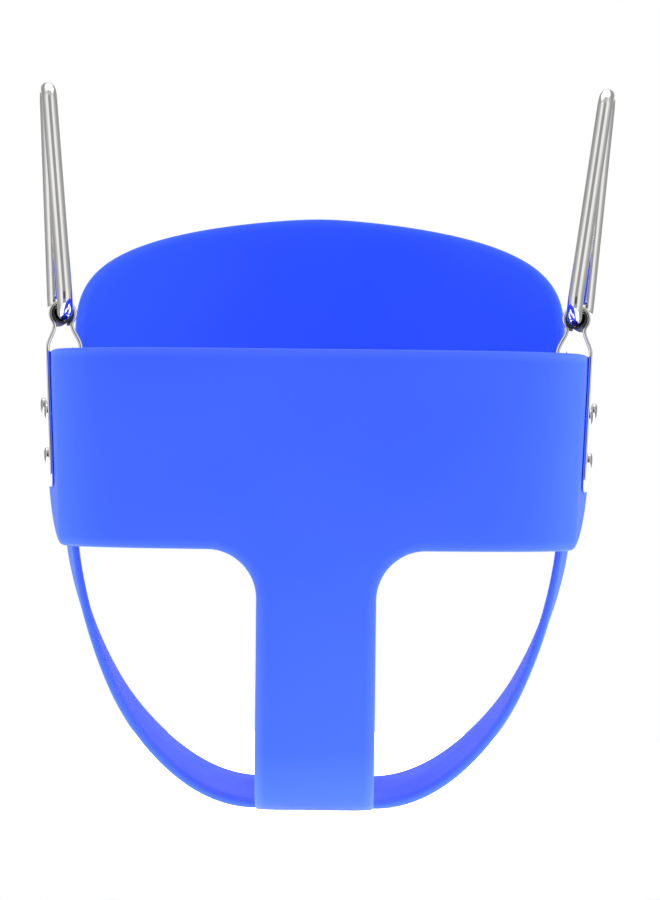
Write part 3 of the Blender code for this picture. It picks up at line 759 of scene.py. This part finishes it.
def bush(side):
    """Sleeve inside the curl, along the local y axis, with its bore round the rod."""
    ends = [(-BUSH_HALF, BUSH_BORE, EYE_DROP), (-BUSH_HALF, BUSH_RADIUS - BUSH_BREAK),
            (-BUSH_HALF + BUSH_BREAK, BUSH_RADIUS)]
    profile = ends + [(-x, *rest) for x, *rest in reversed(ends)]
    place = side_frame(side) @ Matrix.Translation((-STACK / 2, 0, EYE_RISE - EYE_DROP))
    along = Matrix.Rotation(math.pi / 2, 4, "Z")
    mesh = turned("bush", profile, 64, place @ along, closed=True)
    node = SIDES[side] + "_bush"
    # the sleeve is black nylon and its near-black also stands in, as painted shade, for the shaded
    # gap round the rod
    return piece(node + "_sleeve", mesh, "root", LOOKS["nylon"], "black_nylon", node)


# --- bracket ------------------------------------------------------------------------------
def bracket_line():
    """Right half of the folded strap's middle line, (across, up), from the top of the curl."""
    radius = EYE_RADIUS + STEEL / 2
    leg = STACK / 2 + GAP + STEEL / 2
    arc = []
    for i in range(CURL_STEPS + 1):
        angle = math.pi / 2 + (CURL_END - math.pi / 2) * i / CURL_STEPS
        arc.append((radius * math.cos(angle), EYE_RISE - EYE_DROP + radius * math.sin(angle)))
    start = Vector(arc[-1])
    heading = Vector((math.sin(CURL_END), -math.cos(CURL_END)))
    flare = bezier(start, start + heading * FLARE_LEAVE, (leg, FLARE_ARRIVE), (leg, FLARE_FOOT),
                   CURL_STEPS)
    return Path(arc + flare[1:] + [(leg, -PLATE_DEPTH)])


BRACKET = bracket_line()


def plate_half(z):
    """Half width of the bracket's plate at height z, with its rounded lower corners."""
    if z >= 0:
        return EYE_HALF + (PLATE_TOP_HALF - EYE_HALF) * max(0.0, 1 - z / PLATE_FLARE)
    half = PLATE_TOP_HALF + (PLATE_END_HALF - PLATE_TOP_HALF) * -z / PLATE_DEPTH
    return half - corner_cut(-z, PLATE_DEPTH, PLATE_CORNER)


def bracket_point(t, y, depth):
    """Point t along the strap from the top of its curl, y to the rear, depth into the sheet."""
    point, along = BRACKET.read(abs(t), 0.2)
    if abs(t) < 0.4:
        along = Vector((1, 0))
    across = Vector((-along.y, along.x)) * (STEEL / 2 - depth)
    x = point.x + across.x
    return Vector(((x if t >= 0 else -x) - STACK / 2, y, point.y + across.y))


def bracket(side):
    """One steel strap, folded over the bush with both legs down the wall."""
    pattern = Pattern()
    end = BRACKET.at[-1]
    columns = both_sides(spread(0, CURL_RUN, CURL_CELL)
                         + spread(CURL_RUN, end - PLATE_CORNER, LEG_CELL)
                         + corner_arc(end, PLATE_CORNER, 14))

    def half(t):
        return plate_half(BRACKET.place(abs(t)).y)

    pattern.block(columns, lambda t: -half(t), half, 24)
    place = side_frame(side)

    def bend(t, y, depth):
        return place @ bracket_point(t, y, depth)

    mesh = sheet_mesh("bracket", pattern, bend, STEEL, STEEL_EDGE, STEEL_CROWN, steps=4)
    node = SIDES[side] + "_bracket"
    return piece(node + "_folded", mesh, "root", LOOKS["steel"], "polished_steel", node)


# --- hanger -------------------------------------------------------------------------------
def hanger_line():
    """Closed middle line of the rod, (y, z) with its outward direction."""
    bends = [Vector((HANGER_HALF - HANGER_BEND, HANGER_BEND)),
             Vector((0, HANGER_RISE - HANGER_BEND)),
             Vector((HANGER_BEND - HANGER_HALF, HANGER_BEND))]
    line = []
    for i, middle in enumerate(bends):
        arriving, leaving = middle - bends[i - 1], bends[(i + 1) % 3] - middle
        start = math.atan2(-arriving.x, arriving.y)
        turn = (math.atan2(-leaving.x, leaving.y) - start) % (2 * math.pi)
        for k in range(BEND_STEPS + 1):
            angle = start + turn * k / BEND_STEPS
            out = Vector((math.cos(angle), math.sin(angle)))
            line.append((middle + HANGER_BEND * out, out))
        ahead = line[-1][0]
        line += [(ahead + leaving * f, out) for f in spread(0, 1, ROD_CELL / leaving.length)[1:-1]]
    return line


def hanger(side):
    """Closed triangle of round rod, standing in its bush."""
    lean = Matrix.Rotation(LEAN[side] - TAPER, 4, "Y")
    skew = Matrix.Rotation(-SKEW, 4, "Z")
    eye = Matrix.Translation((-STACK / 2, 0, EYE_RISE))
    place = side_frame(side) @ eye @ lean @ skew
    turn = place.to_3x3()
    segments = 40
    points, shades, faces = [], [], []
    line = hanger_line()
    for point, out in line:
        for k in range(segments):
            angle = 2 * math.pi * k / segments
            normal = Vector((math.sin(angle), *(out * math.cos(angle))))
            points.append((place @ (Vector((0, *point)) + normal * ROD / 2)) * MM)
            shades.append((turn @ normal).normalized())
    for i in range(len(line)):
        a, b = i * segments, (i + 1) % len(line) * segments
        for k in range(segments):
            j = (k + 1) % segments
            faces.append((a + k, a + j, b + j, b + k))
    mesh = finish_mesh("hanger", points, faces, shades)
    node = SIDES[side] + "_hanger"
    return piece(node + "_rod", mesh, node, LOOKS["steel"], "polished_steel", node)


# --- pockets under the pad ----------------------------------------------------------------
def pocket_cutter(label):
    """Solid that takes out the pocket under one pad rivet's head."""
    seat = PAD_FLOOR + PAD_HEAD_DEPTH + GAP
    radius = PAD_HEAD + GAP
    mouth = radius + POCKET_BEVEL
    profile = [(-POCKET_REACH, mouth), (0.0, mouth), (POCKET_BEVEL, radius), (seat, radius)]
    mesh = turned("pocket", profile, 64, upright(*PAD_RIVETS[label]))
    made = bpy.data.objects.new("pocket_" + label, mesh)
    bpy.context.scene.collection.objects.link(made)
    return made


def cut_pockets(mesh):
    """The seat's mesh with the rivets' pockets cut in, its own normals kept elsewhere."""
    holder = bpy.data.objects.new("seat_uncut", mesh)
    bpy.context.scene.collection.objects.link(holder)
    cutters = [pocket_cutter(label) for label in PAD_RIVETS]
    for cutter in cutters:
        modifier = holder.modifiers.new("pocket", "BOOLEAN")
        modifier.operation = "DIFFERENCE"
        modifier.solver = "EXACT"
        modifier.object = cutter
    known = {tuple(round(c * 1e6) for c in vertex.co): Vector(normal)
             for vertex, normal in zip(mesh.vertices, vertex_normals(mesh))}
    graph = bpy.context.evaluated_depsgraph_get()
    made = bpy.data.meshes.new_from_object(holder.evaluated_get(graph))
    for cutter in cutters:
        bpy.data.objects.remove(cutter)
    bpy.data.objects.remove(holder)
    centres = [Vector((x, y, 0)) * MM for x, y in PAD_RIVETS.values()]
    normals = []
    for face in made.polygons:
        for index in face.vertices:
            at = made.vertices[index].co
            kept = known.get(tuple(round(c * 1e6) for c in at))
            if abs(face.normal.z) > 0.999:
                normals.append(Vector((0, 0, math.copysign(1, face.normal.z))))
            elif kept is not None:
                normals.append(kept)
            else:
                centre = min(centres, key=lambda c: (at - c).length)
                out = centre - at
                flat = Vector((out.x, out.y, 0)).normalized()
                level = Vector((0, 0, face.normal.z))
                slope = math.hypot(face.normal.x, face.normal.y)
                normals.append((flat * slope + level).normalized())
    made.normals_split_custom_set(normals)
    return made


def vertex_normals(mesh):
    """One of the corner normals of each vertex."""
    normals = [None] * len(mesh.vertices)
    for loop, normal in zip(mesh.loops, mesh.corner_normals):
        normals[loop.vertex_index] = normal.vector
    return normals


# --- materials ----------------------------------------------------------------------------
class Look:
    """A node material built up from a Principled shader."""

    def __init__(self, name, **inputs):
        self.material = bpy.data.materials.new(name)
        self.material.use_nodes = True
        self.tree = self.material.node_tree
        self.shader = self.tree.nodes["Principled BSDF"]
        for key, value in inputs.items():
            self.shader.inputs[key.replace("_", " ")].default_value = value
        self.place = self.node("ShaderNodeTexCoord").outputs["Object"]

    def node(self, kind, **settings):
        made = self.tree.nodes.new(kind)
        for key, value in settings.items():
            setattr(made, key, value)
        return made

    def link(self, output, target):
        self.tree.links.new(output, target)

    def noise(self, scale, detail=3.0, roughness=0.5, stretch=(1, 1, 1)):
        """Noise between 0 and 1 with scale features in a metre."""
        spot = self.place
        if stretch != (1, 1, 1):
            mapping = self.node("ShaderNodeMapping")
            mapping.inputs["Scale"].default_value = stretch
            self.link(self.place, mapping.inputs["Vector"])
            spot = mapping.outputs["Vector"]
        made = self.node("ShaderNodeTexNoise")
        made.inputs["Scale"].default_value = scale
        made.inputs["Detail"].default_value = detail
        made.inputs["Roughness"].default_value = roughness
        self.link(spot, made.inputs["Vector"])
        return made.outputs["Fac"]

    def cells(self, scale):
        made = self.node("ShaderNodeTexVoronoi", feature="SMOOTH_F1")
        made.inputs["Scale"].default_value = scale
        self.link(self.place, made.inputs["Vector"])
        return made.outputs["Distance"]

    def ranged(self, value, low, high, to_low, to_high):
        made = self.node("ShaderNodeMapRange")
        for key, number in (("From Min", low), ("From Max", high),
                            ("To Min", to_low), ("To Max", to_high)):
            made.inputs[key].default_value = number
        self.link(value, made.inputs["Value"])
        return made.outputs["Result"]

    def mixed(self, factor, a, b):
        made = self.node("ShaderNodeMix", data_type="RGBA")
        self.link(factor, made.inputs["Factor"])
        for socket, value in ((made.inputs[6], a), (made.inputs[7], b)):
            if isinstance(value, tuple):
                socket.default_value = (*value, 1)
            else:
                self.link(value, socket)
        return made.outputs[2]

    def bump(self, height, distance, strength, below=None):
        made = self.node("ShaderNodeBump")
        made.inputs["Distance"].default_value = distance
        made.inputs["Strength"].default_value = strength
        self.link(height, made.inputs["Height"])
        if below is not None:
            self.link(below, made.inputs["Normal"])
        return made.outputs["Normal"]

    def edge(self, reach):
        """1 at the sheet's edge and 0 from reach inwards."""
        near = self.node("ShaderNodeAttribute", attribute_name="edge_distance")
        return self.ranged(near.outputs["Fac"], 0.0, reach, 1.0, 0.0)


def eva_look(name, base, deep):
    """Satin moulded EVA: slow colour drift, fine grain, and a painted highlight that makes it paler
    along its edges.
    """
    look = Look(name, Specular_IOR_Level=0.04)
    drift = look.ranged(look.noise(9, 2.0), 0.3, 0.7, 0.0, 1.0)
    # painted highlight: within 3.5 mm of the rounded edges the blue is mixed towards a paler tint,
    # standing in for the light those edges catch
    pale = tuple(min(1.0, c * 1.12 + 0.01) for c in base)
    body = look.mixed(drift, deep, base)
    edge_highlight = look.mixed(look.edge(0.0035), body, pale)
    look.link(edge_highlight, look.shader.inputs["Base Color"])
    handled = look.ranged(look.noise(26, 4.0, 0.6), 0.25, 0.75, 0.44, 0.54)
    look.link(handled, look.shader.inputs["Roughness"])
    ripple = look.bump(look.noise(22, 1.0), 0.0006, 0.25)
    grain = look.bump(look.cells(1500), 0.00006, 0.35, ripple)
    fine = look.bump(look.noise(4200, 2.0), 0.00003, 0.3, grain)
    look.link(fine, look.shader.inputs["Normal"])
    return look.material


def steel_look(name, colour, low, high, stretch):
    """Polished steel: faint drawing lines, soft waves and a little handling haze."""
    look = Look(name, Metallic=1.0)
    haze = look.ranged(look.noise(60, 4.0, 0.6), 0.3, 0.75, low, high)
    look.link(haze, look.shader.inputs["Roughness"])
    duller = tuple(c * 0.93 for c in colour)
    tint = look.mixed(look.ranged(look.noise(35, 3.0), 0.35, 0.7, 0.0, 1.0), colour, duller)
    look.link(tint, look.shader.inputs["Base Color"])
    wave = look.bump(look.noise(120, 1.0), 0.0002, 0.12)
    lines = look.bump(look.noise(900, 3.0, 0.6, stretch), 0.00002, 0.25, wave)
    look.link(lines, look.shader.inputs["Normal"])
    return look.material


def nylon_and_shade_look():
    look = Look("black_nylon", Specular_IOR_Level=0.4)
    # near-black nylon of the bush, also used as painted shade for the gap between the rod and the
    # curl
    tone = look.mixed(look.noise(300, 3.0), (0.010, 0.010, 0.012), (0.026, 0.026, 0.028))
    look.link(tone, look.shader.inputs["Base Color"])
    rough = look.ranged(look.noise(500, 2.0), 0.3, 0.7, 0.35, 0.55)
    look.link(rough, look.shader.inputs["Roughness"])
    look.link(look.bump(look.noise(1800, 2.0), 0.00004, 0.3), look.shader.inputs["Normal"])
    return look.material


# --- studio -------------------------------------------------------------------------------
def floor():
    """Round white table, lit through, small enough for the steel to mirror the room past it."""
    rings = [FLOOR_RADIUS * i / 12 for i in range(13)]
    points = [(0.0, 0.0, 0.0)]
    faces = []
    for k, radius in enumerate(rings[1:]):
        for i in range(96):
            angle = 2 * math.pi * i / 96
            points.append((radius * math.cos(angle), radius * math.sin(angle), 0.0))
        for i in range(96):
            j = (i + 1) % 96
            a, b = 1 + k * 96 + i, 1 + k * 96 + j
            faces.append((0, a, b) if k == 0 else (a - 96, a, b, b - 96))
    mesh = bpy.data.meshes.new("studio_floor")
    mesh.from_pydata(points, [], faces)
    made = bpy.data.objects.new("studio_floor", mesh)
    bpy.context.scene.collection.objects.link(made)
    made.location.z = CAD_BOX[0].z - 0.0002
    look = Look("floor_white", Specular_IOR_Level=0.2, Roughness=0.8,
                Emission_Color=(1, 1, 1, 1), Emission_Strength=FLOOR_GLOW)
    tones = [(FLOOR_WHITE * k,) * 3 for k in (0.98, 1.02)]
    look.link(look.mixed(look.noise(3), *tones), look.shader.inputs["Base Color"])
    mesh.materials.append(look.material)


def studio_world():
    """White room with softer and darker stretches round it, for the steel to mirror."""
    world = bpy.data.worlds.new("studio")
    bpy.context.scene.world = world
    world.use_nodes = True
    tree = world.node_tree
    back = tree.nodes["Background"]

    def node(kind, **settings):
        made = tree.nodes.new(kind)
        for key, value in settings.items():
            setattr(made, key, value)
        return made

    def math_node(operation, a, b=None):
        made = node("ShaderNodeMath", operation=operation)
        for socket, value in zip(made.inputs, (a, b)):
            if isinstance(value, (int, float)):
                socket.default_value = value
            elif value is not None:
                tree.links.new(value, socket)
        return made.outputs[0]

    def ring(angle, stops):
        ramp = node("ShaderNodeValToRGB")
        tree.links.new(angle, ramp.inputs[0])
        set_ramp(ramp.color_ramp, stops)
        return ramp.outputs["Color"]

    def mixed(factor, a, b):
        made = node("ShaderNodeMix", data_type="RGBA")
        tree.links.new(factor, made.inputs["Factor"])
        tree.links.new(a, made.inputs[6])
        if isinstance(b, tuple):
            made.inputs[7].default_value = b
        else:
            tree.links.new(b, made.inputs[7])
        return made.outputs[2]

    coordinates = node("ShaderNodeTexCoord")
    split = node("ShaderNodeSeparateXYZ")
    tree.links.new(coordinates.outputs["Generated"], split.inputs[0])
    x, y, z = split.outputs
    turn = math_node("ARCTAN2", math_node("ABSOLUTE", x), math_node("MULTIPLY", y, -1.0))
    angle = math_node("DIVIDE", turn, math.pi)
    height = math_node("ABSOLUTE", z)

    def belt(low, high):
        made = node("ShaderNodeMapRange", interpolation_type="SMOOTHSTEP")
        made.inputs["From Min"].default_value = low
        made.inputs["From Max"].default_value = high
        tree.links.new(height, made.inputs["Value"])
        return made.outputs["Result"]

    level = mixed(belt(*STUDIO_EYE), ring(angle, STUDIO_LEVEL), ring(angle, STUDIO_LOW))
    room = mixed(belt(*STUDIO_BELT), level, ring(angle, STUDIO_HIGH))
    seen = node("ShaderNodeLightPath")
    tree.links.new(mixed(seen.outputs["Is Camera Ray"], room, (1, 1, 1, 1)), back.inputs["Color"])


def set_ramp(ramp, stops):
    while len(ramp.elements) > 1:
        ramp.elements.remove(ramp.elements[-1])
    ramp.elements[0].position = stops[0][0]
    ramp.elements[0].color = (*(stops[0][1],) * 3, 1)
    for position, level in stops[1:]:
        ramp.elements.new(position).color = (level, level, level, 1)


STUDIO_EYE = (0.2, 0.4)       # heights between which the level ring gives way to the low one
STUDIO_BELT = (0.62, 0.8)     # and those between which the low ring gives way to the high one
STUDIO_LEVEL = [(0.0, 0.1), (0.07, 0.12), (0.17, 1.25), (0.30, 1.3), (0.42, 0.7),
                (0.60, 0.45), (0.86, 0.45), (0.91, 1.15), (1.0, 1.15)]
STUDIO_LOW = [(0.0, 0.45), (0.10, 0.45), (0.17, 1.25), (0.30, 1.3), (0.42, 0.7),
              (0.60, 0.45), (0.86, 0.45), (0.91, 1.15), (1.0, 1.15)]
STUDIO_HIGH = [(0.0, 0.7), (0.25, 0.8), (0.5, 1.6), (0.75, 1.5), (1.0, 1.3)]
FLOOR_GLOW = 2.1
FLOOR_WHITE = 0.6
FLOOR_RADIUS = 0.42


def soft_light(name, place, aim, size, power, mirrored=True):
    lamp = bpy.data.lights.new(name, "AREA")
    lamp.shape = "RECTANGLE"
    lamp.size, lamp.size_y = size
    lamp.energy = power
    made = bpy.data.objects.new(name, lamp)
    bpy.context.scene.collection.objects.link(made)
    made.location = place
    made.rotation_euler = (Vector(aim) - Vector(place)).to_track_quat("-Z", "Y").to_euler()
    made.visible_glossy = mirrored


def camera():
    lens = bpy.data.cameras.new("camera")
    lens.lens = 129.8
    lens.sensor_width = 36
    made = bpy.data.objects.new("camera", lens)
    bpy.context.scene.collection.objects.link(made)
    made.location = (0.0064, -1.8, 0.1925)
    made.rotation_euler = (math.radians(90), math.radians(-0.62), 0)
    bpy.context.scene.camera = made


EVA_BLUE = (0.043, 0.1, 0.94), (0.037, 0.092, 0.91)         # the two tones of its slow drift
# the back panel's blue is a darker copy of the EVA blue: painted shade for its hollow inner face
BACK_SHADED_BLUE = (0.032, 0.092, 0.93), (0.026, 0.084, 0.9)
ROD_GREY, RIVET_GREY = (0.68, 0.675, 0.66), (0.56, 0.56, 0.57)
ROD_ROUGHNESS, RIVET_ROUGHNESS = (0.05, 0.14), (0.16, 0.3)   # clean and handled
DRAWN, PRESSED = (1, 1, 0.06), (1, 1, 1)                     # grain: along z, or even
LOOKS = {}


def build():
    camera()
    LOOKS["eva"] = eva_look("eva_blue", *EVA_BLUE)
    # same EVA made darker: painted shade for the back panel's inner face
    LOOKS["back"] = eva_look("eva_blue_back", *BACK_SHADED_BLUE)
    LOOKS["steel"] = steel_look("polished_steel", ROD_GREY, *ROD_ROUGHNESS, DRAWN)
    LOOKS["rivet"] = steel_look("rivet_steel", RIVET_GREY, *RIVET_ROUGHNESS, PRESSED)
    LOOKS["nylon"] = nylon_and_shade_look()
    seat = sheet_mesh("seat", seat_pattern(), seat_point, SHEET, EVA_EDGE, EVA_CROWN)
    piece("seat_moulding", cut_pockets(seat), "root", LOOKS["eva"], "seat_eva", "seat_base")
    back = sheet_mesh("back", back_pattern(), back_point, SHEET, EVA_EDGE, EVA_CROWN)
    piece("back_moulding", back, "root", LOOKS["back"], "seat_eva", "back_panel")
    for side in SIDES:
        bracket(side)
        bush(side)
        hanger(side)
        for label in RIVETS:
            side_rivet(side, label)
    for label in PAD_RIVETS:
        pad_rivet(label)
        pad_washer(label)
    floor()
    studio_world()
    soft_light("overhead", (0.0, 0.15, 1.5), (0, 0.05, 0.1), (1.4, 1.0), 8)
    soft_light("key_right", (1.5, -1.1, 0.8), (0, 0, 0.15), (0.9, 1.2), 11,
               mirrored=False)
    for side in SIDES:
        soft_light(f"side_{SIDES[side]}", (side * 1.3, 0.25, 0.35), (0, 0, 0.15), (1.0, 0.8), 19,
                   mirrored=False)
    bpy.context.scene.view_settings.view_transform = "Standard"


build()
